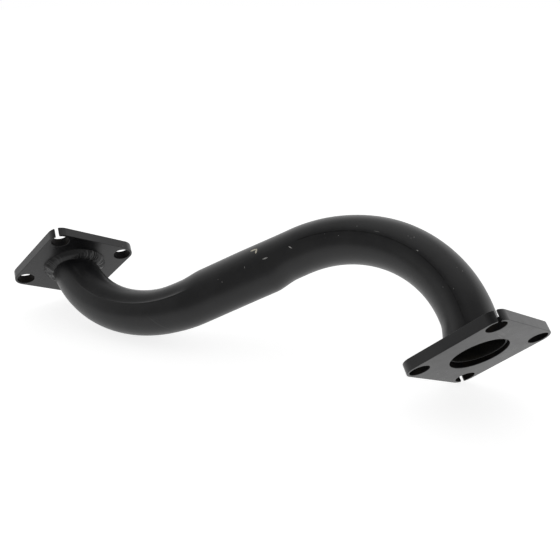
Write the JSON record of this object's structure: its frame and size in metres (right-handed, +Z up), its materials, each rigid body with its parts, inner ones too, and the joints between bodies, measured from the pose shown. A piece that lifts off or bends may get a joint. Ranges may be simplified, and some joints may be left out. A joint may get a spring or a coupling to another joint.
{
  "type": "turbo downpipe",
  "caption": "Exhaust downpipe: an S-bent steel tube with a square bolted flange welded on each end, painted satin black.",
  "frame": {"origin": "on the surface that the pipe lies on, under the middle of its outline", "axes": "+Z up, +X level from the exhaust flange towards the turbo flange, +Y across the pipe"},
  "size_m": [0.4454, 0.1046, 0.1117],
  "materials": {
    "satin_black_paint": "satin black paint on drawn steel tube, with small chips and scratches",
    "satin_black_flange": "satin black paint on cut steel plate",
    "painted_weld": "satin black paint over a rippled weld bead"
  },
  "bodies": {
    "root": {"bent_tube": "satin_black_paint", "turbo_flange": "satin_black_flange", "exhaust_flange": "satin_black_flange", "turbo_flange_weld": "painted_weld", "exhaust_flange_weld": "painted_weld"}
  },
  "joints": []
}
